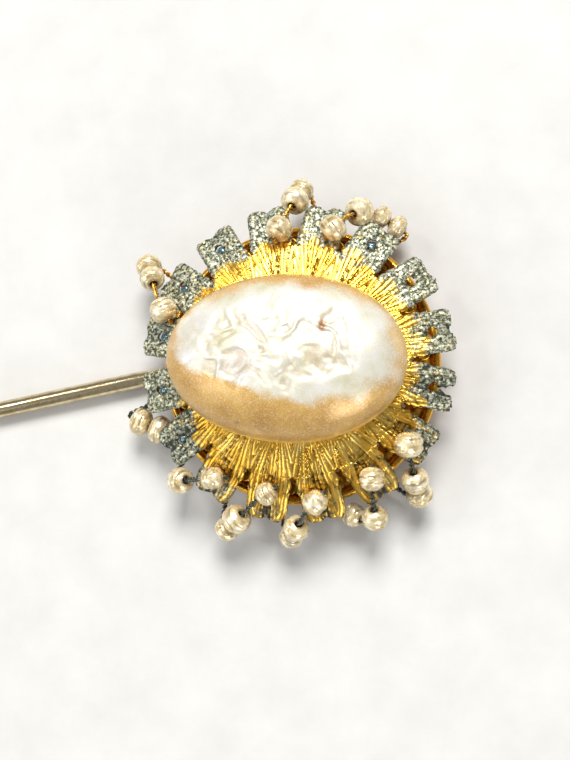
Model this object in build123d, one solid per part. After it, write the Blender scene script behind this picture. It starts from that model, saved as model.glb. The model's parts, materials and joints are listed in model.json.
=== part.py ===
from build123d import *
from math import cos, radians, sin
import os

# Hat pin: an oval glass cabochon on a stamped sunburst of sixteen petals, with pearl
# beads wired round the petals, a pierced backing plate and a long straight stem.
# Millimetres. +Z points out of the head's face, and the stem's point is at -X.
# The origin is the centre of the flat back, which lies against the hat.

# --- driving dimensions -------------------------------------------------------------
PETALS = 16
PETAL_PITCH = 360 / PETALS
TIP_R = 17.0               # centre to petal tip
TIP_Z = 5.6                # top of the metal at the tips
SEAT_R = 9.0               # flat seat in the middle of the sunburst
SEAT_Z = 8.0
DISH_MID = (13.3, 7.15)    # radius and height half way down a petal
METAL = 0.5                # sheet thickness of the sunburst

SLOT_START_R = 12.8        # inner end of the slots between petals
SLOT_INNER_W = 0.9
SLOT_FLARE_R = 15.6
SLOT_FLARE_W = 1.6
SLOT_MOUTH_W = 3.5
NOTCH_W = 0.9              # fork in each petal's tip
NOTCH_START_R = 16.3
STONE_HOLE_R = 0.65
STONE_R = 14.7             # radius of the circle of stones
STONE_PETALS = (0, 1, 2, 5, 6, 7, 8, 9, 15)    # petals pierced for a stone
STONES_LEFT = (2, 5, 6, 7, 8, 9)               # petals that still hold theirs
STONE_HEAD = 0.45
STONE_TABLE_R = 0.2
STONE_SEAT = 0.05          # the head stands this far off the curved metal

CABOCHON_LONG = 25.0
CABOCHON_SHORT = 18.0
CABOCHON_DOME = 5.7        # height of the dome above its girdle
CABOCHON_FOOT = 0.9        # drop from the girdle to the flat base
CABOCHON_TURN = -13.0      # degrees from +X to the long axis
CABOCHON_SHIFT = (-0.5, 0.2)
CEMENT = 0.8
CEMENT_LONG = 17.0
CEMENT_SHORT = 13.5

PLATE_R = 14.8             # centre line of the backing plate's rolled rim
PLATE_Z = 2.4              # underside of the backing plate
PLATE_T = 0.5
RIM_R = 0.5                # radius of the rolled rim's section
OPENING_R = 11.2           # middle of the plate's openings
OPENING_LENGTH = 4.6
OPENING_WIDTH = 2.4

COVER_R = 7.5
COVER_WALL = 0.4
SPACER_R = 4.0
RIVET_R = 0.8
RIVET_HEAD_R = 1.3
RIVET_HEAD = 0.5
RIVET_HOLE_R = 0.85

STEM_R = 0.9
STEM_ROOT_R = 0.8          # the stem is a little thinner where the head covers it
STEM_ROOT_X = -17.0
STEM_SHOULDER = 2.0
STEM_Y = 2.4               # the stem runs beside the centre, clear of the rivet
STEM_Z = 1.4
STEM_POINT_X = -100.0
STEM_TAPER = 14.0          # length of the sharpened end
STEM_POINT_R = 0.08
STEM_END_X = 3.0
STEM_PLAY = 0.02           # round the stem where it passes the cover
SOCKET_R = 0.99
SOCKET_START_X = -6.0
SOCKET_END_X = 3.4
SOCKET_PAD_W = 2.2

WIRE_R = 0.3               # two twisted strands, as one round
WIRE_BEND_R = 0.4
BORE_R = 0.38              # bead bore, a running fit on the wire
BEAD_GAP = 0.1             # between two beads that touch on one run of wire
BEAD_END = 0.62            # radius of a bead's ends, as a share of its middle's
BEAD_ARC_X = 0.08          # a bead's side is one arc, centred at least this far off its axis
RUN_END = 0.65             # straight wire beyond the beads at each end of a run
WIRE_HOLE_R = 0.5
BEAD_CLEAR = 0.2           # inner beads stand this far off the petals
RETURN_RUN = 1.1           # the wire's turn back under the last bead
WIRE_SUNK = 0.15           # each end of a wire is soldered this deep into the plate

# Each wire comes up through the metal at a first corner, then carries its beads on
# straight runs. A place is an angle in degrees, a radius and a height; a run is the place
# of its middle (a height of None rests the bead on the petal), then each bead's radius
# and length.
WIRES = [
    ((88.5, 12.6, 9.0), [((84.6, 14.1, None), [(1.4, 2.3)]),
                         ((78.6, 18.2, 5.5), [(1.5, 2.3), (1.3, 1.9)])]),
    ((65.3, 13.2, 8.5), [((61.5, 14.6, None), [(1.4, 2.2)]),
                         ((55.8, 17.5, 6.1), [(1.5, 2.3)]),
                         ((46.0, 18.2, 4.0), [(1.3, 1.9), (1.3, 1.9)])]),
    ((-41.6, 14.0, 8.6), [((-47.4, 15.1, None), [(1.45, 2.4)]),
                          ((-57.2, 18.4, 5.0), [(1.6, 2.7), (1.4, 1.9)])]),
    ((-63.6, 13.6, 8.2), [((-67.5, 15.0, None), [(1.3, 2.2)]),
                          ((-74.2, 18.5, 5.9), [(1.35, 2.1)]),
                          ((-81.5, 17.3, 3.2), [(1.25, 2.0)])]),
    ((-86.6, 14.1, 8.4), [((-92.1, 15.1, None), [(1.4, 2.3)]),
                          ((-102.4, 18.1, 4.9), [(1.4, 2.2), (1.25, 1.8)])]),
    ((-107.5, 13.3, 8.5), [((-112.3, 14.3, None), [(1.2, 1.9)]),
                           ((-123.4, 18.6, 5.2), [(1.55, 2.5), (1.3, 1.8)])]),
    ((-130.5, 14.1, 8.2), [((-135.9, 15.1, None), [(1.3, 2.2)]),
                           ((-146.5, 18.0, 5.4), [(1.4, 2.3)])]),
    ((-162.0, 15.9, 4.1), [((-169.7, 18.0, 3.8), [(1.4, 2.2), (1.4, 2.3)])]),
    ((152.1, 13.9, 8.3), [((147.1, 15.2, None), [(1.45, 2.4)]),
                          ((137.0, 19.3, 5.5), [(1.5, 2.4), (1.4, 1.9)])]),
]
BEAD_NAMES = ("inner", "outer", "under", "end")


# --- shared shapes ------------------------------------------------------------------
def polar(angle, radius, height):
    """A point from an angle in degrees, a radius and a height."""
    return Vector(radius * cos(radians(angle)), radius * sin(radians(angle)), height)


def ring_face(points):
    """A closed outline in the XZ plane, to be turned round Z."""
    return Plane.XZ * make_face(Polyline(*points, close=True))


def disc(radius, low, high):
    """A solid disc between two heights."""
    return Pos(0, 0, low) * Cylinder(radius, high - low, align=(Align.CENTER, Align.CENTER, Align.MIN))


def rod(start, end, radius):
    """A round rod between two points."""
    line = end - start
    plane = Plane(origin=start, z_dir=line)
    return plane * Cylinder(radius, line.length, align=(Align.CENTER, Align.CENTER, Align.MIN))


def dish_circle():
    """Centre and radius of the arc that a petal follows from the seat to its tip."""
    (x1, z1), (x2, z2), (x3, z3) = (SEAT_R, SEAT_Z), DISH_MID, (TIP_R, TIP_Z)
    a1, b1, c1 = x2 - x1, z2 - z1, (x2**2 - x1**2 + z2**2 - z1**2) / 2
    a2, b2, c2 = x3 - x2, z3 - z2, (x3**2 - x2**2 + z3**2 - z2**2) / 2
    det = a1 * b2 - a2 * b1
    x = (c1 * b2 - c2 * b1) / det
    z = (a1 * c2 - a2 * c1) / det
    return x, z, ((x1 - x)**2 + (z1 - z)**2) ** 0.5


def petal_top(radius, above=0.0):
    """Height of the sunburst's top face beyond the seat, or of a point that far off it."""
    x, z, arc_radius = dish_circle()
    return z + ((arc_radius + above)**2 - (radius - x)**2) ** 0.5


def petal_plane(petal):
    """A plane on a petal's top face at its stone hole, with its normal out of the metal."""
    x, z, _ = dish_circle()
    height = petal_top(STONE_R)
    angle = petal * PETAL_PITCH
    normal = polar(angle, STONE_R - x, height - z)
    return Plane(origin=polar(angle, STONE_R, height), z_dir=normal)


# --- the beads' wires ---------------------------------------------------------------
def run_length(beads):
    """Length of the beads on one run, with the gaps between them."""
    return sum(length for _, length in beads) + BEAD_GAP * (len(beads) - 1)


def run_middle(run):
    """The middle of a run of wire."""
    (angle, radius, height), beads = run
    if height is None:
        height = petal_top(radius, beads[0][0] + BEAD_CLEAR)
    return polar(angle, radius, height)


def wire_runs(wire):
    """Middle, axis and half length of each straight run, threaded one after another."""
    start, runs = wire
    corner = polar(*start)
    placed = []
    for run in runs:
        middle = run_middle(run)
        axis = (middle - corner).normalized()
        half = run_length(run[1]) / 2 + RUN_END
        placed.append((middle, axis, half))
        corner = middle + axis * half
    return placed


def wire_route(wire):
    """Corner points of a wire: up from the plate, through its beads and back to the rim."""
    (angle, radius, height), _ = wire
    foot = polar(angle, min(radius, PLATE_R), PLATE_Z + PLATE_T - WIRE_SUNK)
    ends = [middle + axis * half for middle, axis, half in wire_runs(wire)]
    last = ends[-1]
    rim = Vector(last.X, last.Y, 0).normalized() * (PLATE_R + RIM_R - WIRE_SUNK)
    rim += Vector(0, 0, PLATE_Z + RIM_R)
    last_axis = wire_runs(wire)[-1][1]
    turn = (last_axis + (rim - last).normalized()).normalized()
    return [foot, polar(angle, radius, height)] + ends + [last + turn * RETURN_RUN, rim]


def bead_wire(wire):
    """One stiff wire, with an arc at each corner of its route."""
    route = wire_route(wire)
    path = FilletPolyline(*route, radius=WIRE_BEND_R)
    start = Plane(origin=route[0], z_dir=route[1] - route[0])
    return sweep(start * Circle(WIRE_R), path=path)


def bead(middle, axis, radius, length):
    """A barrel-shaped bead with a straight bore along its axis."""
    half = length / 2
    rounder_end_r = BEAD_ARC_X + ((radius - BEAD_ARC_X)**2 - half**2) ** 0.5
    end_r = min(radius * BEAD_END, rounder_end_r)
    outline = Polyline((end_r, half), (BORE_R, half), (BORE_R, -half), (end_r, -half))
    side = ThreePointArc((end_r, -half), (radius, 0), (end_r, half))
    blank = revolve(Plane.XZ * make_face([outline, side]), axis=Axis.Z)
    return Plane(origin=middle, z_dir=axis) * blank


def wire_beads(wire):
    """Every bead on one wire, in order from the petal outwards."""
    made = []
    for (middle, axis, _), (_, beads) in zip(wire_runs(wire), wire[1]):
        place = -run_length(beads) / 2
        for radius, length in beads:
            made.append(bead(middle + axis * (place + length / 2), axis, radius, length))
            place += length + BEAD_GAP
    return made


# --- the head -----------------------------------------------------------------------
def slot_tool():
    """The gap between two petals, wider towards the tips, with a round inner end."""
    outer = TIP_R + 1
    outline = Polyline(
        (SLOT_START_R, SLOT_INNER_W / 2),
        (SLOT_FLARE_R, SLOT_FLARE_W / 2),
        (TIP_R, SLOT_MOUTH_W / 2),
        (outer, SLOT_MOUTH_W / 2 + 1),
        (outer, -SLOT_MOUTH_W / 2 - 1),
        (TIP_R, -SLOT_MOUTH_W / 2),
        (SLOT_FLARE_R, -SLOT_FLARE_W / 2),
        (SLOT_START_R, -SLOT_INNER_W / 2),
        close=True,
    )
    wedge = extrude(make_face(outline), SEAT_Z + 1)
    return wedge + Pos(SLOT_START_R, 0, 0) * disc(SLOT_INNER_W / 2, 0, SEAT_Z + 1)


def notch_tool():
    """The fork in a petal's tip."""
    outline = Polyline(
        (NOTCH_START_R, 0), (TIP_R + 0.5, NOTCH_W), (TIP_R + 0.5, -NOTCH_W), close=True
    )
    return extrude(make_face(outline), SEAT_Z + 1)


def sunburst():
    """The stamped metal face: a dished disc cut into petals."""
    top = ThreePointArc((SEAT_R, SEAT_Z), DISH_MID, (TIP_R, TIP_Z))
    bottom = ThreePointArc(*[(x, z - METAL) for x, z in ((SEAT_R, SEAT_Z), DISH_MID, (TIP_R, TIP_Z))])
    inner = Polyline(
        (SEAT_R, SEAT_Z - METAL),
        (RIVET_HOLE_R, SEAT_Z - METAL),
        (RIVET_HOLE_R, SEAT_Z),
        (SEAT_R, SEAT_Z),
    )
    edge = Line((TIP_R, TIP_Z), (TIP_R, TIP_Z - METAL))
    body = revolve(Plane.XZ * make_face([top, edge, bottom, inner]), axis=Axis.Z)
    slot = slot_tool()
    notch = notch_tool()
    cuts = []
    for petal in range(PETALS):
        cuts.append(Rot(0, 0, (petal + 0.5) * PETAL_PITCH) * slot)
        cuts.append(Rot(0, 0, petal * PETAL_PITCH) * notch)
    for petal in STONE_PETALS:
        cuts.append(petal_plane(petal) * Cylinder(STONE_HOLE_R, 4 * METAL))
    for wire in WIRES:
        foot, rise = wire_route(wire)[:2]
        cuts.append(rod(foot, rise, WIRE_HOLE_R))
    return body - cuts


def petal_stone(petal):
    """A small round stone: a stem in the petal's hole and a low domed head."""
    head_r = STONE_HOLE_R + 0.12
    stem_r = STONE_HOLE_R - 0.03
    outline = Polyline(
        (STONE_TABLE_R, STONE_HEAD),
        (0, STONE_HEAD),
        (0, -METAL),
        (stem_r, -METAL),
        (stem_r, STONE_SEAT),
        (head_r, STONE_SEAT),
    )
    dome = ThreePointArc((head_r, STONE_SEAT), (head_r * 0.78, 0.3), (STONE_TABLE_R, STONE_HEAD))
    return petal_plane(petal) * revolve(Plane.XZ * make_face([outline, dome]), axis=Axis.Z)


def cabochon_place():
    """The cabochon's own frame: its girdle's centre, turned to its long axis."""
    base = SEAT_Z + CEMENT
    return Pos(*CABOCHON_SHIFT, base + CABOCHON_FOOT) * Rot(0, 0, CABOCHON_TURN)


def cabochon():
    """A flat-based oval dome, widest a little above its base."""
    ball = scale(Sphere(1), by=(CABOCHON_LONG / 2, CABOCHON_SHORT / 2, CABOCHON_DOME))
    keep = Pos(0, 0, CABOCHON_DOME - CABOCHON_FOOT) * Box(30, 30, 2 * CABOCHON_DOME)
    return cabochon_place() * (ball & keep)


def cabochon_cement():
    """The bed of cement between the seat and the cabochon, round the rivet's head."""
    pad = extrude(Ellipse(CEMENT_LONG / 2, CEMENT_SHORT / 2), CEMENT)
    placed = Pos(*CABOCHON_SHIFT, SEAT_Z) * Rot(0, 0, CABOCHON_TURN) * pad
    return placed - disc(RIVET_HEAD_R, SEAT_Z, SEAT_Z + RIVET_HEAD)


def backing_plate():
    """The pierced plate behind the petals, with a rolled rim."""
    plate = disc(PLATE_R, PLATE_Z, PLATE_Z + PLATE_T)
    opening = SlotOverall(OPENING_LENGTH, OPENING_WIDTH)
    tool = Pos(OPENING_R, 0, PLATE_Z - 1) * extrude(opening, PLATE_T + 2)
    cuts = [Rot(0, 0, (petal + 0.5) * PETAL_PITCH) * tool for petal in range(PETALS)]
    cuts.append(disc(RIVET_HOLE_R, PLATE_Z - 1, PLATE_Z + PLATE_T + 1))
    rim = Pos(0, 0, PLATE_Z + RIM_R) * Torus(PLATE_R, RIM_R)
    return plate - cuts + rim


def spacer_tube():
    """The short tube that holds the sunburst off the backing plate."""
    low, high = PLATE_Z + PLATE_T, SEAT_Z - METAL
    return disc(SPACER_R, low, high) - disc(RIVET_HOLE_R, low, high)


def centre_rivet():
    """The rivet that closes the stack, with a head at each end."""
    shank = disc(RIVET_R, PLATE_Z - RIVET_HEAD, SEAT_Z + RIVET_HEAD)
    back_head = disc(RIVET_HEAD_R, PLATE_Z - RIVET_HEAD, PLATE_Z)
    front_head = disc(RIVET_HEAD_R, SEAT_Z, SEAT_Z + RIVET_HEAD)
    return shank + back_head + front_head


def back_cover():
    """The shallow cap that closes the back, with a hole for the stem in its wall."""
    inside = COVER_R - COVER_WALL
    outline = [
        (0, 0), (inside, 0), (COVER_R, COVER_WALL), (COVER_R, PLATE_Z),
        (inside, PLATE_Z), (inside, COVER_WALL), (0, COVER_WALL),
    ]
    cap = revolve(ring_face(outline), axis=Axis.Z)
    inner_end, outer_end = Vector(0, STEM_Y, STEM_Z), Vector(-COVER_R - 1, STEM_Y, STEM_Z)
    return cap - rod(inner_end, outer_end, STEM_ROOT_R + STEM_PLAY)


def stem_socket():
    """The soldered tube that holds the stem, with a pad against the backing plate."""
    start, end = Vector(SOCKET_START_X, STEM_Y, STEM_Z), Vector(SOCKET_END_X, STEM_Y, STEM_Z)
    middle = (SOCKET_START_X + SOCKET_END_X) / 2
    block = Box(SOCKET_END_X - SOCKET_START_X, SOCKET_PAD_W, PLATE_Z - STEM_Z)
    pad = Pos(middle, STEM_Y, (STEM_Z + PLATE_Z) / 2) * block
    bore_end = Vector(STEM_END_X, STEM_Y, STEM_Z)
    return rod(start, end, SOCKET_R) + pad - rod(start, bore_end, STEM_ROOT_R)


def stem():
    """The long pin: a straight round wire, sharpened at its free end."""
    length = STEM_END_X - STEM_POINT_X
    root = STEM_END_X - STEM_ROOT_X
    outline = [
        (0, 0), (STEM_ROOT_R, 0), (STEM_ROOT_R, root), (STEM_R, root + STEM_SHOULDER),
        (STEM_R, length - STEM_TAPER), (STEM_POINT_R, length), (0, length),
    ]
    blank = revolve(ring_face(outline), axis=Axis.Z)
    return Plane(origin=(STEM_END_X, STEM_Y, STEM_Z), z_dir=(-1, 0, 0)) * blank


def build():
    """Every piece of the hat pin by its node's name."""
    parts = {
        "cabochon": cabochon(),
        "cabochon_cement": cabochon_cement(),
        "sunburst": sunburst(),
        "backing_plate": backing_plate(),
        "spacer_tube": spacer_tube(),
        "centre_rivet": centre_rivet(),
        "back_cover": back_cover(),
        "stem_socket": stem_socket(),
        "stem": stem(),
    }
    for number, petal in enumerate(STONES_LEFT, start=1):
        parts[f"petal_stone_{number}"] = petal_stone(petal)
    for number, wire in enumerate(WIRES, start=1):
        parts[f"bead_wire_{number}"] = bead_wire(wire)
        for role, solid in zip(BEAD_NAMES, wire_beads(wire)):
            parts[f"bead_{number}_{role}"] = solid
    return parts


os.makedirs("parts", exist_ok=True)
for node, solid in build().items():
    solid.label = node
    export_step(solid, f"parts/{node}.step")
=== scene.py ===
import json
import math
import random
import bmesh
import bpy
from mathutils import Matrix, Vector, noise


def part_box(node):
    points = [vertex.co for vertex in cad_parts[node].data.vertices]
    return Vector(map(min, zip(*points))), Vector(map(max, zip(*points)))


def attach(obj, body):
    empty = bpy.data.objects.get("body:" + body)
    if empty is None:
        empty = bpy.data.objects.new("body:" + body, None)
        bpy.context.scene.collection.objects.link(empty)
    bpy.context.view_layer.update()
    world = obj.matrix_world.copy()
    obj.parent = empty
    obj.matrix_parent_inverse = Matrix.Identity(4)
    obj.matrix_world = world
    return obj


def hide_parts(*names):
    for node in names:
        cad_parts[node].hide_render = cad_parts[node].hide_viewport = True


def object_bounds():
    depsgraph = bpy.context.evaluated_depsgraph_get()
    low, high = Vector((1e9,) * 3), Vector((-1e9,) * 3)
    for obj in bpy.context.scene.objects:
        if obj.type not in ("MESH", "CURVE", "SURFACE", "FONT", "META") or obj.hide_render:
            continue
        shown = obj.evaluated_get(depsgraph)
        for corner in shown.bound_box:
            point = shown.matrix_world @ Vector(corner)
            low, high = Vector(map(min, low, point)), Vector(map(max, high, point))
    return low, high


# A hat pin, head up, with its stem along -X. Lengths here are millimetres until a mesh or an
# object is made; the frame is in metres.
MM = 0.001
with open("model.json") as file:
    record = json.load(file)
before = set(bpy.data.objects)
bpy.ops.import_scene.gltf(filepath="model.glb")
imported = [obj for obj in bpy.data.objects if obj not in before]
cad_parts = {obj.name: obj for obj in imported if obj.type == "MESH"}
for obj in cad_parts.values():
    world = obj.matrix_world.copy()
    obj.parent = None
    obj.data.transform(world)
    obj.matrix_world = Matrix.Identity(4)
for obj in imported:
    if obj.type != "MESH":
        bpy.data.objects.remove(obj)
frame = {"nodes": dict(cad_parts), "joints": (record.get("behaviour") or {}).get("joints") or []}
cad_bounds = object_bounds()
joints = {joint["child"]: joint for joint in frame["joints"]}

# --- view ---------------------------------------------------------------------------
LENS = 60.0
SENSOR = 36.0
VIEW_HEIGHT = 81.4         # millimetres that the frame's height covers at the head
VIEW_ROLL = -11.0          # degrees from +X to the picture's right
TILT_RIGHT = 10.0          # the camera leans this far to the picture's right
TILT_DOWN = 5.0            # and this far towards its foot
AIM = (-1.2, -1.9)         # the picture's centre from the head's axis, right and up
AIM_Z = 6.0
CLIP_START = 0.005         # metres

# --- light --------------------------------------------------------------------------
# name, place, side of the square, watts and colour
LIGHTS = (
    ("key", (240, 520, 800), 400, 12.6, (1.0, 0.985, 0.96)),
    ("strip", (-420, 480, 800), 150, 1.3, (1.0, 0.99, 0.97)),
    ("fill", (-680, -160, 520), 640, 3.0, (0.98, 0.99, 1.0)),
    ("rim", (240, -760, 320), 360, 2.6, (1.0, 0.98, 0.95)),
)
WORLD_COLOUR = (0.9, 0.9, 0.9, 1.0)
WORLD_STRENGTH = 0.3
FLOOR_HALF = 900.0

# --- sunburst -----------------------------------------------------------------------
PETALS = 16
PITCH = 2 * math.pi / PETALS
SEAT_R = 9.0               # flat inside this
SEAT_Z = 7.9
TIP_R = 17.0
TIP_Z = 5.45
DISH_POWER = 1.67          # how late the dish falls from the seat to the tips
SHEET = 0.45               # thickness, upwards from the heights above
INNER_R = 3.0
COVERED_R = 8.0            # inside this the cabochon hides the metal
SLOT_R = 12.35             # inner end of the slots
SLOT_ROUND = 0.45          # radius of a slot's inner end
SLOT_BEND = 0.035          # the part of a slot's half angle that leaves a petal's middle as it is
SLOT_FLARE_R = 15.6
SLOT_FLARE = 1.0           # half width of a slot where it starts to flare
WIDE_MOUTH = 1.75          # half width of a slot at the tips, where a bead hangs in it
NARROW_MOUTH = 1.45        # and where none does
NARROW_SLOTS = (0, 1, 4, 5, 6, 7, 14, 15)
FAN_R = 6.2                # the ribs of a petal fan out from this radius on its axis
RIB_ANGLE = 0.09           # radians from one coarse rib to the next
FINE_ANGLE = 0.037         # and from one fine rib to the next
RIB_WANDER = 0.02          # radians that the ribs stray
FINE_WANDER = 0.006
LIP_LINE = 0.3             # spacing of the lines along a petal's edges
RIB_DEPTH = 0.22
EDGE_RISE = 0.28           # a petal's edges over its hollow middle
EDGE_ROLL = 0.22           # how far the very edge rolls back down
DENT_DEPTH = 0.07
TROUGH_DEPTH = 0.05
GRAIN_HEIGHT = 0.07        # of the crust's rounded grains
GRAIN_SIZE = 0.4
SCALE_HEIGHT = 0.05        # and of its finer roughness
SCALE_SIZE = 0.3
CRUST_SINK = 0.03
CRUST_START_R = 11.3       # where the crust starts on a petal that is crusted through
CRUST_RETREAT = 4.0        # how much further out it starts on a clean one
CRUST_FADE = 2.0
COLUMNS = 96               # of points across a petal
COVERED_ROWS = 5
SEEN_ROWS = 34
SLOTTED_ROWS = 46
HOLE_R = 0.74
HOLE_LIP = 0.12            # height of the lip round a hole
HOLE_CENTRE_R = 14.7
HOLED = (0, 1, 2, 5, 6, 7, 8, 9, 15)
STONED = (2, 5, 6, 7, 8, 9)
WELD = 0.002               # points closer than this are one
OPEN_HOLE = 15             # this petal's hole has broken through into its fork
# how far the crust has grown over each petal, counted anticlockwise from +X
CRUSTED = (0.85, 0.95, 1.0, 1.0, 1.0, 1.0, 1.0, 1.0, 1.0, 0.95, 0.6, 0.45, 0.4, 0.45, 0.65, 0.85)

# --- cabochon -----------------------------------------------------------------------
CABOCHON_LONG = 12.75      # half lengths
CABOCHON_SHORT = 8.85
CABOCHON_DOME = 5.7        # height over the girdle
CABOCHON_FOOT = 0.9        # and under it
CABOCHON_TURN = math.radians(-13.0)
CABOCHON_RINGS = 120
CABOCHON_SIDES = 240
FOOT_SHARE = 0.1           # the part of the rings that the foot takes
FOOT_DRAWN_IN = 0.035      # how much narrower the foot's bottom is than the girdle
EGG = 0.035                # how much fuller one end of the oval is
CRINKLE_DEPTH = 0.36
WAVE_DEPTH = 0.14
CHIP_DEPTH = 0.15
CHIP_X, CHIP_Y = 3.9, 2.9  # a chip in the coating
SPECK_X, SPECK_Y = -4.3, -7.0
TOP_WELD = 0.004           # points closer than this at the top are one

# --- beads --------------------------------------------------------------------------
BORE_R = 0.4
BORE_MOUTH_R = 0.5
BORE_STEPS = 8
BEAD_STEPS = 48
BEAD_SIDES = 56
BEAD_RINGS = (2.8, 4.6)    # fewest and most
RING_DEPTHS = (0.03, 0.1)  # depths are parts of the bead's radius
BEAD_LUMP = 0.07
BEAD_CREASE = 0.045
BEAD_SWELL = 1.06          # the uneven bead's widest over the plain one's
ALONE_EXTRA = 0.35         # a bead alone on its run is this much longer
NEIGHBOUR = 4.0            # beads on one run are closer than this
OFF_LINE = 0.01            # and no further than this from its line
FAT_BEADS = ("bead_8_inner", "bead_8_outer")
FAT_SWELL = 1.15
# these turn close over the petals
TIGHT_BEADS = ("bead_3_outer", "bead_5_inner", "bead_7_inner", "bead_9_outer")
TIGHT_SWELL = 0.94

# --- backing plate ------------------------------------------------------------------
RIM_R = 14.8
RIM_TUBE = 0.48
RIM_Z = 2.9
PLATE_TOP = 2.85
PLATE_SIDES = 160
RIM_SIDES = 20
# sections of the middle disc and of the flat ring under the rim: radius, height
DISC_SECTION = ((0.86, 2.4), (7.9, 2.4), (8.15, 2.5), (8.2, 2.65), (8.1, 2.82), (7.9, 2.9), (0.86, 2.9))
RING_SECTION = ((12.3, 2.42), (14.7, 2.42), (14.7, 2.75), (12.3, 2.75))
# a curl's course: radius, and place from its sector's middle (0) to the sector's edge (1)
CURL_COURSE = (
    (7.6, 0.1), (9.2, 0.55), (10.9, 0.85), (12.7, 0.95),
    (13.9, 0.7), (14.0, 0.32), (13.1, 0.2), (12.5, 0.42),
)
CURL_R = 0.3
CURL_THINNING = 0.06       # how much thinner it is at its curled end
CURL_STEPS = 6             # points from one place of the course to the next

# --- wires --------------------------------------------------------------------------
STRAND_R = 0.145
STRAND_OFFSET = 0.145
STRAND_PITCH = 1.25
STRAND_SIDES = 10
WIRE_STEP = 0.12
WIRES = 9
RUN_START = 0.2            # from a wire's first bead to where it turns down into the metal
RUN_END = 0.5              # from a bead to the corner after it
LAST_RUN = 0.3             # and after the last bead
RETURN_RUN = 0.4           # the short run of a wire's last bend
UNDER_PETAL = 0.75         # part of the way to the nearest petal's middle that a wire's end is led
BEND_R = 0.45
GILT_WIRES = (1, 2, 9)
SAME_RUN = 0.9999          # cosine above which two beads' axes are one line

# --- stem ---------------------------------------------------------------------------
STEM_R = 0.9
STEM_ROOT_R = 0.8
STEM_POINT_R = 0.08
STEM_ROOT = 20.0           # lengths
STEM_SHOULDER = 2.0
STEM_TAPER = 14.0
STEM_CHAMFER = 0.1
STEM_CORE_R = 0.02         # the first and last rings, which the end faces close
STEM_ROWS = 40
TAPER_ROWS = 12
STEM_SIDES = 40

# --- petal stones -------------------------------------------------------------------
# section from the crown to the foot: radius, height over the seat
STONE_SECTION = (
    (0.01, 0.3), (0.2, 0.28), (0.36, 0.2), (0.47, 0.08), (0.5, -0.08),
    (0.52, -0.2), (0.78, -0.22), (0.78, -0.45), (0.01, -0.45),
)
STONE_SIDES = 24


# --- helpers ------------------------------------------------------------------------
def polar(angle, radius, height):
    """A point from an angle in radians, a radius and a height."""
    return Vector((radius * math.cos(angle), radius * math.sin(angle), height))


def smooth_step(low, high, value):
    """0 below low, 1 above high and a smooth rise between."""
    t = min(1.0, max(0.0, (value - low) / (high - low)))
    return t * t * (3 - 2 * t)


def fractal(point, size, octaves=3):
    """Smooth noise about zero, with features of roughly that size."""
    return noise.fractal(point / size, 1.0, 2.0, octaves)


def grains(point, size):
    """Rounded lumps of roughly that size: 1 on a lump's middle, falling to 0 between lumps."""
    distances, _ = noise.voronoi(point / size)
    return max(0.0, 1.0 - 1.3 * distances[0])


def make_object(name, vertices, faces, material, body, attributes=None):
    """A smooth mesh piece from millimetre points, riding on a body."""
    mesh = bpy.data.meshes.new(name)
    mesh.from_pydata([tuple(Vector(v) * MM) for v in vertices], [], faces)
    for label, values in (attributes or {}).items():
        layer = mesh.attributes.new(label, "FLOAT", "POINT")
        layer.data.foreach_set("value", values)
    mesh.polygons.foreach_set("use_smooth", [True] * len(mesh.polygons))
    mesh.materials.append(material)
    mesh.update()
    piece = bpy.data.objects.new(name, mesh)
    bpy.context.scene.collection.objects.link(piece)
    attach(piece, body)
    return piece


def grid_faces(rows, columns, wrap_rows=False, wrap_columns=False, start=0):
    """Quads of a grid of points, closed on itself where asked."""
    faces = []
    for i in range(rows if wrap_rows else rows - 1):
        for j in range(columns if wrap_columns else columns - 1):
            a = start + i * columns + j
            b = start + i * columns + (j + 1) % columns
            c = start + (i + 1) % rows * columns + (j + 1) % columns
            d = start + (i + 1) % rows * columns + j
            faces.append((a, b, c, d))
    return faces


def turned(profile, sides, matrix):
    """Rings of points round an axis, one for each (radius, height) of a profile."""
    angles = [2 * math.pi * j / sides for j in range(sides)]
    return [matrix @ polar(angle, radius, height) for radius, height in profile for angle in angles]


def lathe(profile, sides, matrix):
    """Points and quads of a closed profile turned round an axis."""
    return turned(profile, sides, matrix), grid_faces(len(profile), sides, wrap_rows=True, wrap_columns=True)


def axis_matrix(origin, axis):
    """A frame at origin whose Z runs along axis."""
    turn = Vector((0, 0, 1)).rotation_difference(axis).to_matrix().to_4x4()
    return Matrix.Translation(origin) @ turn


def path_frames(path):
    """At each point of a path, how far along it lies and two directions across the path."""
    tangent = (path[1] - path[0]).normalized()
    across = tangent.orthogonal().normalized()
    travelled = 0.0
    frames = []
    for i, point in enumerate(path):
        ahead = path[min(i + 1, len(path) - 1)] - path[max(i - 1, 0)]
        new_tangent = ahead.normalized()
        across = tangent.rotation_difference(new_tangent) @ across
        tangent = new_tangent
        if i:
            travelled += (point - path[i - 1]).length
        frames.append((travelled, across.copy(), tangent.cross(across)))
    return frames


def sweep_points(path, radii, sides, start=0, phase=0.0, offset=0.0, pitch=1.0):
    """A closed tube along a path. With an offset, it winds round the path once per pitch."""
    vertices = []
    for point, (travelled, across, up), radius in zip(path, path_frames(path), radii):
        wound = phase + 2 * math.pi * travelled / pitch
        centre = point + (across * math.cos(wound) + up * math.sin(wound)) * offset
        for j in range(sides):
            angle = 2 * math.pi * j / sides
            vertices.append(centre + (across * math.cos(angle) + up * math.sin(angle)) * radius)
    faces = grid_faces(len(path), sides, wrap_columns=True, start=start)
    first = [start + j for j in range(sides)]
    last = [start + (len(path) - 1) * sides + j for j in range(sides)]
    return vertices, faces + [tuple(reversed(first)), tuple(last)]


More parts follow.
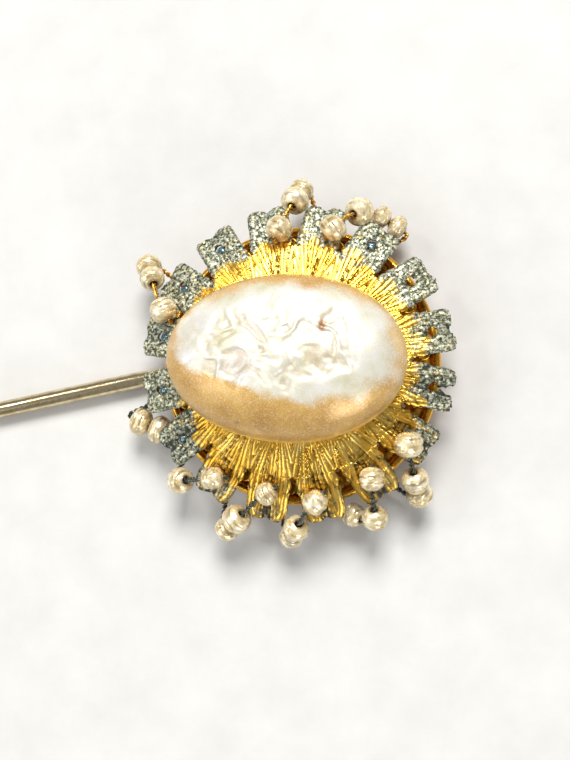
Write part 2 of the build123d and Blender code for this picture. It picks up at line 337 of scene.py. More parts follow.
def clean_mesh(piece, weld=0.0):
    """Turns every face outwards, after making points closer than weld into one."""
    mesh = bmesh.new()
    mesh.from_mesh(piece.data)
    if weld:
        bmesh.ops.remove_doubles(mesh, verts=mesh.verts, dist=weld * MM)
    bmesh.ops.recalc_face_normals(mesh, faces=mesh.faces)
    mesh.to_mesh(piece.data)
    mesh.free()


# --- materials ----------------------------------------------------------------------
class Material:
    """A node material with short calls for the nodes that the pieces share."""

    def __init__(self, name):
        self.data = bpy.data.materials.new(name)
        self.data.use_nodes = True
        self.tree = self.data.node_tree
        self.shader = self.tree.nodes["Principled BSDF"]
        self.place = self.node("ShaderNodeTexCoord").outputs["Object"]

    def node(self, kind, **values):
        """A node with its plain settings made."""
        made = self.tree.nodes.new(kind)
        for key, value in values.items():
            setattr(made, key, value)
        return made

    def link(self, source, target):
        """Joins two sockets."""
        self.tree.links.new(source, target)

    def set(self, **values):
        """Sets the shader's own sockets, named with _ for a space."""
        for key, value in values.items():
            self.shader.inputs[key.replace("_", " ")].default_value = value

    def noise(self, size, detail=4.0, roughness=0.6):
        """Noise with features of that size in millimetres."""
        made = self.node("ShaderNodeTexNoise")
        self.link(self.place, made.inputs["Vector"])
        made.inputs["Scale"].default_value = 1 / (size * MM)
        made.inputs["Detail"].default_value = detail
        made.inputs["Roughness"].default_value = roughness
        return made.outputs["Fac"]

    def cells(self, size):
        """Distance to the nearest of many scattered points, that far apart in millimetres."""
        made = self.node("ShaderNodeTexVoronoi")
        self.link(self.place, made.inputs["Vector"])
        made.inputs["Scale"].default_value = 1 / (size * MM)
        return made.outputs["Distance"]

    def attribute(self, name):
        """A value stored on the mesh's points."""
        made = self.node("ShaderNodeAttribute", attribute_name=name)
        return made.outputs["Fac"]

    def ramp(self, source, stops):
        """Colours by value: stops are (place, colour)."""
        made = self.node("ShaderNodeValToRGB")
        elements = made.color_ramp.elements
        while len(elements) < len(stops):
            elements.new(0.5)
        for element, (place, colour) in zip(elements, stops):
            element.position = place
            element.color = (*colour, 1.0)
        self.link(source, made.inputs["Fac"])
        return made.outputs["Color"]

    def curve(self, source, low, high, out_low=0.0, out_high=1.0):
        """A value stretched from one range to another, and held to its ends."""
        made = self.node("ShaderNodeMapRange", clamp=True)
        ends = {"From Min": low, "From Max": high, "To Min": out_low, "To Max": out_high}
        for label, value in ends.items():
            made.inputs[label].default_value = value
        self.link(source, made.inputs["Value"])
        return made.outputs["Result"]

    def mix(self, amount, first, second, blend="MIX"):
        """Two colours mixed by a value; either may be a socket or a colour."""
        made = self.node("ShaderNodeMix", data_type="RGBA", blend_type=blend)
        sockets = [s for s in made.inputs if s.type == "RGBA"]
        for socket, value in zip(sockets, (first, second)):
            self.put(value, socket)
        self.put(amount, made.inputs["Factor"])
        return [s for s in made.outputs if s.type == "RGBA"][0]

    def math(self, operation, first, second):
        """Two values put together, and held between 0 and 1."""
        made = self.node("ShaderNodeMath", operation=operation, use_clamp=True)
        self.put(first, made.inputs[0])
        self.put(second, made.inputs[1])
        return made.outputs[0]

    def put(self, value, socket):
        """Links a socket, or sets it to a number or a colour."""
        if isinstance(value, bpy.types.NodeSocket):
            self.link(value, socket)
        elif isinstance(value, tuple):
            socket.default_value = (*value, 1.0)
        else:
            socket.default_value = value

    def bump(self, height, depth, strength=1.0):
        """Fine relief of that depth in millimetres."""
        made = self.node("ShaderNodeBump")
        made.inputs["Distance"].default_value = depth * MM
        made.inputs["Strength"].default_value = strength
        self.link(height, made.inputs["Height"])
        self.link(made.outputs["Normal"], self.shader.inputs["Normal"])

    def colour(self, socket):
        """Links the base colour."""
        self.link(socket, self.shader.inputs["Base Color"])

    def roughness(self, socket):
        """Links the roughness."""
        self.link(socket, self.shader.inputs["Roughness"])


def gilt_material():
    """Bright stamped gilding, with dirt and painted shade in its grooves and painted shade on the -Y side,
    under a grey-green crust where that has grown.
    """
    made = Material("gilt_sunburst")
    crust = made.attribute("crust")
    groove = made.attribute("groove")
    gold = made.ramp(made.noise(2.2), [
        (0.3, (0.76, 0.4, 0.04)), (0.5, (0.92, 0.56, 0.09)), (0.7, (1.0, 0.72, 0.19))])
    worn = made.curve(made.noise(0.22, detail=3.0), 0.52, 0.74)
    gold = made.mix(made.math("MULTIPLY", worn, 0.5), gold, (0.25, 0.12, 0.015))
    # painted shade and dirt: the gilding is darkened towards near black where the groove attribute is high
    gold = made.mix(made.curve(groove, 0.08, 0.42, 0.0, 0.94), gold, (0.055, 0.03, 0.007))
    silver = made.ramp(made.noise(0.8), [
        (0.35, (0.52, 0.55, 0.42)), (0.52, (0.8, 0.81, 0.68)), (0.68, (0.84, 0.68, 0.32))])
    speckle = made.ramp(made.noise(0.34, detail=4.0, roughness=0.75), [
        (0.41, (0.03, 0.036, 0.024)), (0.5, (0.32, 0.34, 0.27)), (0.58, (1.0, 1.0, 1.0))])
    crust_colour = made.mix(1.0, silver, speckle, "MULTIPLY")
    # painted shade and dirt: the crust is darkened towards near black where the groove attribute is high
    crust_colour = made.mix(made.curve(groove, 0.06, 0.42, 0.0, 0.94), crust_colour, (0.018, 0.022, 0.015))
    grown = made.math("ADD", made.math("MULTIPLY", crust, 0.6), made.math("MULTIPLY", groove, 0.4))
    patchy = made.math("MULTIPLY", made.noise(0.3, roughness=0.75), 0.5)
    ragged = made.curve(made.math("ADD", grown, patchy), 0.6, 0.84)
    made.colour(made.mix(ragged, gold, crust_colour))
    made.link(made.curve(ragged, 0.0, 1.0, 1.0, 0.5), made.shader.inputs["Metallic"])
    made.roughness(made.curve(ragged, 0.0, 1.0, 0.3, 0.42))
    made.bump(made.noise(0.12, detail=3.0), 0.02, 0.7)
    return made.data


def plate_material():
    """Satin gilding with brown tarnish in patches."""
    made = Material("gilt_plate")
    tarnish = made.curve(made.noise(1.6, roughness=0.7), 0.5, 0.75)
    made.colour(made.mix(tarnish, (0.88, 0.47, 0.06), (0.22, 0.08, 0.012)))
    made.roughness(made.curve(made.noise(0.6), 0.3, 0.7, 0.2, 0.42))
    made.set(Metallic=1.0)
    made.bump(made.noise(0.2), 0.03, 0.5)
    return made.data


def stem_material():
    """Aged brass wire, drawn lengthwise, with dull brown patches."""
    made = Material("stem_brass")
    stretch = made.node("ShaderNodeMapping")
    stretch.inputs["Scale"].default_value = (0.04, 1.0, 1.0)
    made.link(made.place, stretch.inputs["Vector"])
    lines = made.noise(0.12, detail=2.0)
    made.link(stretch.outputs["Vector"], lines.node.inputs["Vector"])
    patches = made.curve(made.noise(1.4, roughness=0.75), 0.42, 0.7)
    base = made.mix(patches, (0.78, 0.66, 0.42), (0.45, 0.35, 0.18))
    made.colour(made.mix(made.math("MULTIPLY", lines, 0.15), base, (0.2, 0.14, 0.06)))
    made.roughness(made.curve(patches, 0.0, 1.0, 0.17, 0.3))
    made.set(Metallic=1.0)
    made.bump(lines, 0.02, 0.5)
    return made.data


def cabochon_material():
    """Pearl-coated glass: silvery white over the crinkled top and warm tan down the sides, with a painted
    glow round the foot, painted shade in the folds and painted glints.
    """
    made = Material("cabochon_pearl")
    pearl = made.attribute("pearl")
    fold = made.attribute("fold")
    milky = made.ramp(made.noise(3.5), [
        (0.3, (0.6, 0.57, 0.4)), (0.5, (0.71, 0.69, 0.58)), (0.7, (0.79, 0.78, 0.76))])
    tan = made.ramp(made.noise(4.0), [
        (0.3, (0.42, 0.22, 0.04)), (0.55, (0.56, 0.33, 0.075)), (0.75, (0.66, 0.43, 0.13))])
    # painted glow: a brighter yellow-tan band round the foot, standing in for light coming through the glass
    tan = made.mix(made.math("MULTIPLY", made.attribute("edge"), 0.8), tan, (0.85, 0.6, 0.2))
    grainy = made.math("MULTIPLY", made.math("SUBTRACT", made.noise(0.2, detail=2.0), 0.5), 1.6)
    ragged = made.curve(made.math("ADD", pearl, grainy), 0.1, 1.0)
    base = made.mix(ragged, tan, milky)
    # painted shade: darker in the folds between the crinkles
    base = made.mix(made.math("MULTIPLY", fold, 0.55), base, (0.42, 0.3, 0.18))
    # painted glints: fine bright specks mixed into the colour
    painted_sparkle = made.curve(made.noise(0.16, detail=2.0), 0.5, 0.75, 0.0, 0.35)
    base = made.mix(painted_sparkle, base, (0.95, 0.92, 0.82))
    made.colour(made.mix(made.attribute("chip"), base, (0.3, 0.15, 0.07)))
    made.link(made.curve(pearl, 0.0, 1.0, 0.2, 0.4), made.shader.inputs["Metallic"])
    made.roughness(made.curve(pearl, 0.0, 1.0, 0.3, 0.42))
    made.set(Coat_Weight=0.2, Coat_Roughness=0.25, IOR=1.5)
    made.set(Subsurface_Weight=0.15, Subsurface_Scale=0.0012, Subsurface_Radius=(1.0, 0.55, 0.2))
    made.bump(made.noise(0.4, detail=5.0), 0.04, 0.6)
    return made.data


def bead_material():
    """Pearl lustre over cream glass, with painted shade in the rings, creases and bore."""
    made = Material("bead_pearl")
    ring = made.attribute("ring")
    base = made.ramp(made.noise(1.3, roughness=0.6), [
        (0.3, (0.56, 0.42, 0.2)), (0.5, (0.82, 0.69, 0.42)), (0.7, (0.96, 0.9, 0.7))])
    # painted shade: darker brown where the ring attribute marks the grooves, creases and bore
    base = made.mix(made.math("MULTIPLY", ring, 0.8), base, (0.2, 0.11, 0.03))
    speck = made.curve(made.cells(0.7), 0.0, 0.08, 0.45, 0.0)
    made.colour(made.mix(speck, base, (0.22, 0.16, 0.08)))
    made.roughness(made.curve(made.noise(0.5), 0.3, 0.7, 0.2, 0.32))
    made.set(Metallic=0.4, Coat_Weight=0.7, Coat_Roughness=0.14, IOR=1.5)
    made.bump(made.noise(0.35, detail=3.0), 0.02, 0.6)
    return made.data


def wire_material(gilt):
    """Twisted wire, gilt or corroded to green-black."""
    made = Material("wire_gilt" if gilt else "wire_dark")
    grime = made.curve(made.noise(0.4, roughness=0.75), 0.4, 0.65)
    if gilt:
        clean, dirty = (0.78, 0.44, 0.08), (0.2, 0.1, 0.02)
    else:
        clean, dirty = (0.13, 0.15, 0.12), (0.012, 0.016, 0.012)
    made.colour(made.mix(grime, clean, dirty))
    made.roughness(made.curve(grime, 0.0, 1.0, 0.28, 0.6))
    made.set(Metallic=0.9 if gilt else 0.7)
    made.bump(made.noise(0.12), 0.03, 0.7)
    return made.data


def stone_material():
    """Small foiled stones, blue-grey and milky with age."""
    made = Material("petal_stone")
    made.colour(made.ramp(made.noise(0.6), [
        (0.35, (0.01, 0.035, 0.04)), (0.52, (0.08, 0.18, 0.2)), (0.7, (0.5, 0.62, 0.64))]))
    made.roughness(made.curve(made.noise(0.3), 0.35, 0.65, 0.05, 0.3))
    made.set(Metallic=0.5, Coat_Weight=1.0, Coat_Roughness=0.04)
    made.bump(made.noise(0.3), 0.04, 0.5)
    return made.data


def cement_material():
    """Old clear cement, gone amber."""
    made = Material("old_cement")
    made.colour(made.ramp(made.noise(1.2), [(0.3, (0.35, 0.2, 0.06)), (0.7, (0.7, 0.48, 0.2))]))
    made.roughness(made.curve(made.noise(0.8), 0.3, 0.7, 0.3, 0.7))
    made.bump(made.noise(0.4), 0.1, 0.6)
    return made.data


def floor_material():
    """A plain pale floor with a faint tooth."""
    made = Material("pale_floor")
    made.colour(made.ramp(made.noise(6.0), [(0.3, (0.55, 0.545, 0.53)), (0.7, (0.6, 0.595, 0.58))]))
    made.set(Roughness=0.85)
    made.bump(made.noise(0.8), 0.05, 0.3)
    return made.data


# --- camera, light and floor --------------------------------------------------------
def make_camera():
    """The camera, leaning off the head's axis and aimed a little beside it."""
    roll = math.radians(VIEW_ROLL)
    right = Vector((math.cos(roll), math.sin(roll), 0))
    upward = Vector((-math.sin(roll), math.cos(roll), 0))
    lean_right = right * math.tan(math.radians(TILT_RIGHT))
    lean_down = upward * math.tan(math.radians(TILT_DOWN))
    out = (lean_right - lean_down + Vector((0, 0, 1))).normalized()
    top = (upward - out * upward.dot(out)).normalized()
    side = top.cross(out)
    distance = VIEW_HEIGHT * LENS / SENSOR
    target = Vector((0, 0, AIM_Z)) + side * AIM[0] + top * AIM[1]
    data = bpy.data.cameras.new("camera")
    data.lens = LENS
    data.sensor_width = SENSOR
    data.clip_start = CLIP_START
    camera = bpy.data.objects.new("camera", data)
    bpy.context.scene.collection.objects.link(camera)
    turn = Matrix((side, top, out)).transposed().to_4x4()
    camera.matrix_world = Matrix.Translation((target + out * distance) * MM) @ turn
    bpy.context.scene.camera = camera


def area_light(name, place, size, power, colour):
    """A soft square light, aimed at the head."""
    data = bpy.data.lights.new(name, "AREA")
    data.size = size * MM
    data.energy = power
    data.color = colour
    light = bpy.data.objects.new(name, data)
    bpy.context.scene.collection.objects.link(light)
    aim = Vector((0, 0, AIM_Z)) - Vector(place)
    turn = aim.to_track_quat("-Z", "Y").to_matrix().to_4x4()
    light.matrix_world = Matrix.Translation(Vector(place) * MM) @ turn


def make_lights():
    """The area lights and a pale surrounding. The default view transform would pale the gilding."""
    for light in LIGHTS:
        area_light(*light)
    bpy.context.scene.view_settings.view_transform = "Standard"
    world = bpy.data.worlds.new("studio")
    world.use_nodes = True
    background = world.node_tree.nodes["Background"]
    background.inputs["Color"].default_value = WORLD_COLOUR
    background.inputs["Strength"].default_value = WORLD_STRENGTH
    bpy.context.scene.world = world


def make_floor():
    """The floor that the pin lies on."""
    low = cad_bounds[0][2] / MM
    corners = ((-1, -1), (1, -1), (1, 1), (-1, 1))
    vertices = [(x * FLOOR_HALF, y * FLOOR_HALF, low) for x, y in corners]
    mesh = bpy.data.meshes.new("floor")
    mesh.from_pydata([tuple(Vector(v) * MM) for v in vertices], [], [(0, 1, 2, 3)])
    mesh.materials.append(floor_material())
    floor = bpy.data.objects.new("floor", mesh)
    bpy.context.scene.collection.objects.link(floor)


# --- sunburst -----------------------------------------------------------------------
def dish_height(radius):
    """Height of the sunburst's underside before its ribs."""
    fall = max(0.0, (radius - SEAT_R) / (TIP_R - SEAT_R))
    return SEAT_Z - (SEAT_Z - TIP_Z) * fall ** DISH_POWER


def slot_half_width(radius, mouth):
    """Half the width of the gap between two petals."""
    into = radius - SLOT_R
    if into <= 0:
        return 0.0
    if into < SLOT_ROUND:
        return math.sqrt(SLOT_ROUND**2 - (SLOT_ROUND - into)**2)
    if radius < SLOT_FLARE_R:
        share = (into - SLOT_ROUND) / (SLOT_FLARE_R - SLOT_R - SLOT_ROUND)
        return SLOT_ROUND + (SLOT_FLARE - SLOT_ROUND) * share
    flare = (radius - SLOT_FLARE_R) / (TIP_R - SLOT_FLARE_R)
    return SLOT_FLARE + (mouth - SLOT_FLARE) * flare ** 1.5


def tip_radius(across, petal):
    """Where a petal ends: nearly straight, with a shallow fork and rounded corners."""
    lobe = 0.18 * noise.noise(Vector((petal * 3.1, across * 1.7, 0)))
    if petal == OPEN_HOLE:
        fork = 1.75 * math.exp(-(across / 0.22)**2)
    else:
        depth = 0.4 + 0.3 * noise.noise(Vector((petal * 5.7, 1.3, 0)))
        fork = depth * math.exp(-(across / 0.28)**2)
    corner = 0.55 * abs(across)**6
    return TIP_R - 0.05 + lobe - fork - corner


def crust_level(across, petal):
    """How crusted the metal is, blending from one petal to the next."""
    neighbour = petal + (1 if across > 0 else -1)
    share = across**2 / 2
    return CRUSTED[petal] * (1 - share) + CRUSTED[neighbour % PETALS] * share


def rib_height(angle, radius, half_angle, petal):
    """Ribs that fan along a petal: 1 on a crest and 0 in the groove beside it."""
    along, aside = radius * math.cos(angle), radius * math.sin(angle)
    here = Vector((along, aside, 7.3 * petal))
    bent = math.atan2(aside, along - FAN_R) + RIB_WANDER * fractal(here, 3.5, 2)
    coarse = abs(math.cos(math.pi * bent / RIB_ANGLE))
    fine = abs(math.cos(math.pi * (bent + FINE_WANDER * noise.noise(here * 1.3)) / FINE_ANGLE))
    weight = 0.3 + 0.35 * smooth_step(10.5, 15.0, radius) + 0.2 * noise.noise(here / 1.1)
    fanned = coarse * (1 - weight) + fine * weight
    from_edge = radius * (half_angle - abs(angle))
    lines = abs(math.cos(math.pi * from_edge / LIP_LINE)) ** 0.7
    lip = (1 - smooth_step(0.35, 0.75, from_edge)) * smooth_step(SLOT_R + 0.6, SLOT_R + 2.2, radius)
    return fanned * (1 - lip) + lines * lip


def trough(across, radius):
    """The hollow down the middle of a petal's outer half, which is also painted a little darker as painted
    shade.
    """
    return math.exp(-(across / 0.17)**2) * smooth_step(11.5, 13.0, radius)


def hollow(across, radius):
    """Height of a petal's cross-section: hollow in the middle, raised near its edges."""
    rise = EDGE_RISE * (abs(across) ** 1.6 - 0.45) * smooth_step(SEAT_R, SLOT_R + 1, radius)
    roll = EDGE_ROLL * smooth_step(0.86, 1.0, abs(across)) * smooth_step(SLOT_R, SLOT_R + 1, radius)
    return rise - roll


def petal_angle(across, radius, petal):
    """A point's angle from its petal's middle, and half the angle that the petal spans there."""
    slot = petal if across > 0 else (petal - 1) % PETALS
    mouth = NARROW_MOUTH if slot in NARROW_SLOTS else WIDE_MOUTH
    gap_angle = math.asin(slot_half_width(radius, mouth) / radius)
    bend = min(gap_angle, SLOT_BEND)
    angle = across * (PITCH / 2 - gap_angle + bend) - bend * across * abs(across)**2
    return angle, PITCH / 2 - gap_angle


def crust_cover(point, across, radius, petal):
    """How thick the crust lies there: 0 to 1, with a ragged edge towards the clean metal."""
    level = crust_level(across, petal)
    start = CRUST_START_R + (1 - level) * CRUST_RETREAT + 1.6 * fractal(point, 1.6, 2)
    return min(1.0, level * 1.25) * smooth_step(start, start + CRUST_FADE, radius)


def groove_dirt_and_shade(point, across, radius, petal, rib, crust, outwards):
    """How dark the metal is painted: dirt and painted shade in its grooves, and painted shade on the petals
    of the -Y side, away from the key light.
    """
    # painted shade: the petals of the -Y side, away from the key light, are darkened
    low_side = smooth_step(-0.1, 0.6, -math.sin(petal * PITCH))
    middle = math.exp(-(across / 0.4)**2) * smooth_step(10.5, 13.0, radius)
    # painted shade in the hollow middles of those petals, patchy with noise
    grime = middle * (0.3 + fractal(point, 0.35, 2))
    share = 0.42 + 0.75 * low_side + 0.25 * crust
    dirt_and_shade = outwards * share * (1 - rib) + 0.1 * trough(across, radius) + 0.6 * low_side * max(0.0, grime)
    return min(1.0, dirt_and_shade)


def petal_point(across, radius, petal):
    """A point of one petal, with how dark its dirt and painted shade make it and how thick its crust."""
    angle, half_angle = petal_angle(across, radius, petal)
    point = polar(petal * PITCH + angle, radius, 0)
    outwards = smooth_step(COVERED_R, SEAT_R + 1, radius)
    rib = rib_height(angle, radius, half_angle, petal)
    crust = crust_cover(point, across, radius, petal)
    lumps = GRAIN_HEIGHT * grains(point, GRAIN_SIZE) + SCALE_HEIGHT * fractal(point, SCALE_SIZE, 3)
    depth = RIB_DEPTH * outwards * (1 - 0.15 * crust)
    dents = DENT_DEPTH * fractal(point, 2.2, 2) * outwards
    height = dish_height(radius) + hollow(across, radius) - TROUGH_DEPTH * trough(across, radius)
    height += depth * (rib - 1) + dents + crust * (lumps - CRUST_SINK)
    dirt_and_shade = groove_dirt_and_shade(point, across, radius, petal, rib, crust, outwards)
    return Vector((point.x, point.y, height)), dirt_and_shade, crust


def petal_rows(across, petal):
    """Radii of one column of a petal's points: sparse where the cabochon hides them."""
    covered = [INNER_R + (COVERED_R - INNER_R) * i / COVERED_ROWS for i in range(COVERED_ROWS)]
    seen = [COVERED_R + (SLOT_R - COVERED_R) * i / SEEN_ROWS for i in range(SEEN_ROWS)]
    reach = tip_radius(across, petal) - SLOT_R
    return covered + seen + [SLOT_R + reach * (i / SLOTTED_ROWS) ** 1.5 for i in range(SLOTTED_ROWS + 1)]


def add_petal(mesh, petal, layers):
    """One petal's grid of points and faces, without the faces over its hole."""
    columns = []
    for j in range(COLUMNS + 1):
        across = -1 + 2 * j / COLUMNS
        column = []
        for radius in petal_rows(across, petal):
            point, dirt_and_shade, crust = petal_point(across, radius, petal)
            vertex = mesh.verts.new(point)
            vertex[layers["groove"]] = dirt_and_shade
            vertex[layers["crust"]] = crust
            column.append(vertex)
        columns.append(column)
    hole = polar(petal * PITCH, HOLE_CENTRE_R, 0).xy
    for left, right in zip(columns, columns[1:]):
        for i in range(len(left) - 1):
            in_hole = (left[i].co.xy - hole).length < HOLE_R
            if not (in_hole and petal in HOLED):
                mesh.faces.new((left[i], left[i + 1], right[i + 1], right[i]))


def round_hole(vertices, petal):
    """Draws the edge of a petal's hole to a true circle with a raised lip."""
    hole = polar(petal * PITCH, HOLE_CENTRE_R, 0).xy
    for vertex in vertices:
        away = vertex.co.xy - hole
        distance = away.length
        if 0 < distance < HOLE_R * 2.4:
            if vertex.is_boundary and distance < HOLE_R * 1.3:
                vertex.co.xy = hole + away * (HOLE_R / distance)
            vertex.co.z += HOLE_LIP * math.exp(-((distance - HOLE_R * 1.4) / 0.25)**2)


def make_sunburst():
    """The stamped sunburst: its underside, thickened upwards into a sheet."""
    mesh = bmesh.new()
    # groove holds the dirt and painted shade, crust how thick the crust lies
    layers = {name: mesh.verts.layers.float.new(name) for name in ("groove", "crust")}
    for petal in range(PETALS):
        add_petal(mesh, petal, layers)
    bmesh.ops.remove_doubles(mesh, verts=mesh.verts, dist=WELD)
    bmesh.ops.delete(mesh, geom=[v for v in mesh.verts if not v.link_faces], context="VERTS")
    slotted = [v for v in mesh.verts if v.co.xy.length > SLOT_R]
    for petal in HOLED:
        round_hole(slotted, petal)
    bmesh.ops.scale(mesh, vec=(MM, MM, MM), verts=mesh.verts)
    data = bpy.data.meshes.new("sunburst_petals")
    mesh.to_mesh(data)
    mesh.free()
    data.polygons.foreach_set("use_smooth", [True] * len(data.polygons))
    data.materials.append(gilt_material())
    piece = bpy.data.objects.new("sunburst_petals", data)
    bpy.context.scene.collection.objects.link(piece)
    solid = piece.modifiers.new("sheet", "SOLIDIFY")
    solid.thickness = SHEET * MM
    solid.offset = 1.0
    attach(piece, "pin")
    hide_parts("sunburst")


# --- cabochon -----------------------------------------------------------------------
def wrinkle(x, y):
    """Crinkles of the cabochon's coating: soft folded ridges, 1 on a crest."""
    here = Vector((x, y, 2.0))
    warp = Vector((fractal(here, 4.0, 2), fractal(here + Vector((9, 0, 0)), 4.0, 2), 0)) * 2.2
    ridge = 1 - min(1.0, abs(fractal(here + warp, 3.4, 2)) * 2.4)
    fine = 1 - min(1.0, abs(fractal(here + warp * 0.7 + Vector((0, 7, 0)), 1.7, 2)) * 1.8)
    return 0.72 * smooth_step(0, 1, ridge) + 0.28 * smooth_step(0, 1, fine)


def dome_outline(share, turn_angle):
    """A point of the plain dome: the first rings are its foot and the others rise to its top."""
    if share < FOOT_SHARE:
        drop = 1 - share / FOOT_SHARE
        plan, rise = 1 - FOOT_DRAWN_IN * drop**2, -CABOCHON_FOOT * drop
    else:
        angle = (share - FOOT_SHARE) / (1 - FOOT_SHARE) * math.pi / 2
        plan, rise = math.cos(angle) ** 0.9, CABOCHON_DOME * math.sin(angle)
    x = CABOCHON_LONG * plan * math.cos(turn_angle)
    y = CABOCHON_SHORT * plan * math.sin(turn_angle) * (1 + EGG * math.cos(turn_angle))
    return x, y, rise


def crinkle_strength(x, y):
    """How crinkled the coating is: 1 over the middle of the top and 0 at the sides."""
    crinkled = math.hypot((x + 0.5) / 8.2, (y - 1.4) / 5.2) + 0.35 * fractal(Vector((x, y, 5.0)), 3.0)
    return 1 - smooth_step(0.65, 1.15, crinkled)


def pearl_cover(x, y):
    """How silvery the coating is: 1 over the top, 0 down the sides, and further down at +Y."""
    upper = smooth_step(0, 3, y)
    reach = (5.9 + 0.2 * x) * (1 - upper) + (6.3 + 0.03 * x) * upper
    coated = math.hypot(x / 12.6, (y - 1.2) / reach) + 0.12 * fractal(Vector((x, y, 5.0)), 2.6)
    return 1 - smooth_step(0.82, 1.08, coated)


def cabochon_point(share, turn_angle):
    """A point of the dome, with how pearly, how deep in a fold (for painted shade), how chipped and how near
    its foot (for a painted glow).
    """
    x, y, rise = dome_outline(share, turn_angle)
    strength = crinkle_strength(x, y)
    crinkle = wrinkle(x, y)
    wave = fractal(Vector((x, y, 5.0)), 5.0, 2) * smooth_step(0.1, 0.6, rise / CABOCHON_DOME)
    # how deep in a fold, which drives painted shade
    fold = strength * max(0.0, 0.6 - crinkle) * 1.6
    chip = math.exp(-((x - CHIP_X - 0.2 * y) / 0.35)**2 - ((y - CHIP_Y) / 0.7)**2)
    speck = math.exp(-((x - SPECK_X)**2 + (y - SPECK_Y)**2) / 0.03)
    lift = CRINKLE_DEPTH * strength * (crinkle - 1.0) + WAVE_DEPTH * wave - CHIP_DEPTH * chip
    # the band of painted glow round the foot
    edge = 1 - smooth_step(0.1, 0.24, share)
    return Vector((x, y, rise + lift)), (pearl_cover(x, y), fold, min(1.0, 1.6 * chip + speck), edge)


def make_cabochon():
    """The oval cabochon as a dense dome with a crinkled top and a rounded foot."""
    low, high = (Vector(corner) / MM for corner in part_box("cabochon"))
    centre = (low + high) / 2
    girdle = Matrix.Translation((centre.x, centre.y, low.z + CABOCHON_FOOT))
    place = girdle @ Matrix.Rotation(CABOCHON_TURN, 4, "Z")
    vertices = []
    attributes = {"pearl": [], "fold": [], "chip": [], "edge": []}
    for i in range(CABOCHON_RINGS + 1):
        for j in range(CABOCHON_SIDES):
            point, values = cabochon_point(i / CABOCHON_RINGS, 2 * math.pi * j / CABOCHON_SIDES)
            vertices.append(place @ point)
            for stored, value in zip(attributes.values(), values):
                stored.append(value)
    faces = grid_faces(CABOCHON_RINGS + 1, CABOCHON_SIDES, wrap_columns=True)
    faces.append(tuple(reversed(range(CABOCHON_SIDES))))
    piece = make_object("cabochon_dome", vertices, faces, cabochon_material(), "pin", attributes)
    clean_mesh(piece, TOP_WELD)
    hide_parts("cabochon")


# --- beads --------------------------------------------------------------------------
def bead_measure(node):
    """Centre, axis, radius and length of a CAD bead, from its joint and its mesh."""
    joint = joints[node]
    centre = Vector(joint["pos_m"]) / MM
    axis = Vector(joint["axis"]).normalized()
    radius = length = 0.0
    for vertex in frame["nodes"][node].data.vertices:
        offset = vertex.co / MM - centre
        along = offset.dot(axis)
        radius = max(radius, (offset - axis * along).length)
        length = max(length, 2 * abs(along))
    return centre, axis, radius, length


def bead_section(radius, length, draw):
    """Section of a bead, out over its side and back along its bore: radius, height, groove."""
    rings = draw.uniform(*BEAD_RINGS)
    phase = draw.uniform(0, 2 * math.pi)
    section = []
    for i in range(BEAD_STEPS + 1):
        along = math.cos(math.pi * i / BEAD_STEPS)
        out = max(0.0, 1 - abs(along) ** 2.5) ** (1 / 2.2)
        groove = max(0.0, -math.cos(rings * math.pi * along + phase)) ** 2
        section.append((max(radius * out, BORE_MOUTH_R), along * length / 2, groove))
    for i in range(1, BORE_STEPS):
        share = i / BORE_STEPS
        section.append((BORE_R, -length / 2 * (1 - 2 * share), 1.0))
    return section


def runs_alone(node, centre, axis):
    """Whether no other bead is on this bead's straight run."""
    for other in joints:
        along = Vector(joints[other]["pos_m"]) / MM - centre
        if other != node and along.length < NEIGHBOUR and along.cross(axis).length < OFF_LINE:
            return False
    return True


def swell_of(node):
    """How much wider the uneven bead's widest is than the plain one's side."""
    if node in FAT_BEADS:
        return FAT_SWELL
    return TIGHT_SWELL if node in TIGHT_BEADS else BEAD_SWELL


def make_bead(node, seed, material):
    """One uneven pearl bead, ringed round its bore."""
    centre, axis, radius, length = bead_measure(node)
    if runs_alone(node, centre, axis):
        length += ALONE_EXTRA
    draw = random.Random(seed)
    ring_depth = draw.uniform(*RING_DEPTHS)
    drift = Vector((draw.uniform(0, 90), draw.uniform(0, 90), draw.uniform(0, 90)))
    place = axis_matrix(centre, axis)
    vertices, ring = [], []
    for flat, height, groove in bead_section(radius * swell_of(node), length, draw):
        outside = smooth_step(BORE_MOUTH_R, BORE_MOUTH_R + 0.3, flat)
        for j in range(BEAD_SIDES):
            point = polar(2 * math.pi * j / BEAD_SIDES, flat, height)
            uneven = max(0.0, 0.45 + 1.1 * noise.noise((point + drift) / 1.1))
            cut_in = ring_depth * groove * uneven
            lump = BEAD_LUMP * abs(fractal(point + drift, 1.9, 2))
            crease = BEAD_CREASE * (1 - min(1.0, 5 * abs(fractal(point + drift * 2, 1.0, 2))))
            scale = 1 - outside * (cut_in + lump + crease)
            vertices.append(place @ Vector((point.x * scale, point.y * scale, point.z)))
            # painted shade in the ring grooves and creases, and full painted shade inside the bore
            painted_shade = 0.8 * groove * uneven + 12 * crease
            ring.append(min(1.0, painted_shade * outside + 1 - outside))
    faces = grid_faces(len(ring) // BEAD_SIDES, BEAD_SIDES, wrap_rows=True, wrap_columns=True)
    piece = make_object(node + "_pearl", vertices, faces, material, node, {"ring": ring})
    clean_mesh(piece)
    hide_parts(node)


# --- wires --------------------------------------------------------------------------
def wire_beads(number):
    """The CAD beads on one wire, in the order that it threads them."""
    return [name for name in joints if name.startswith(f"bead_{number}_")]


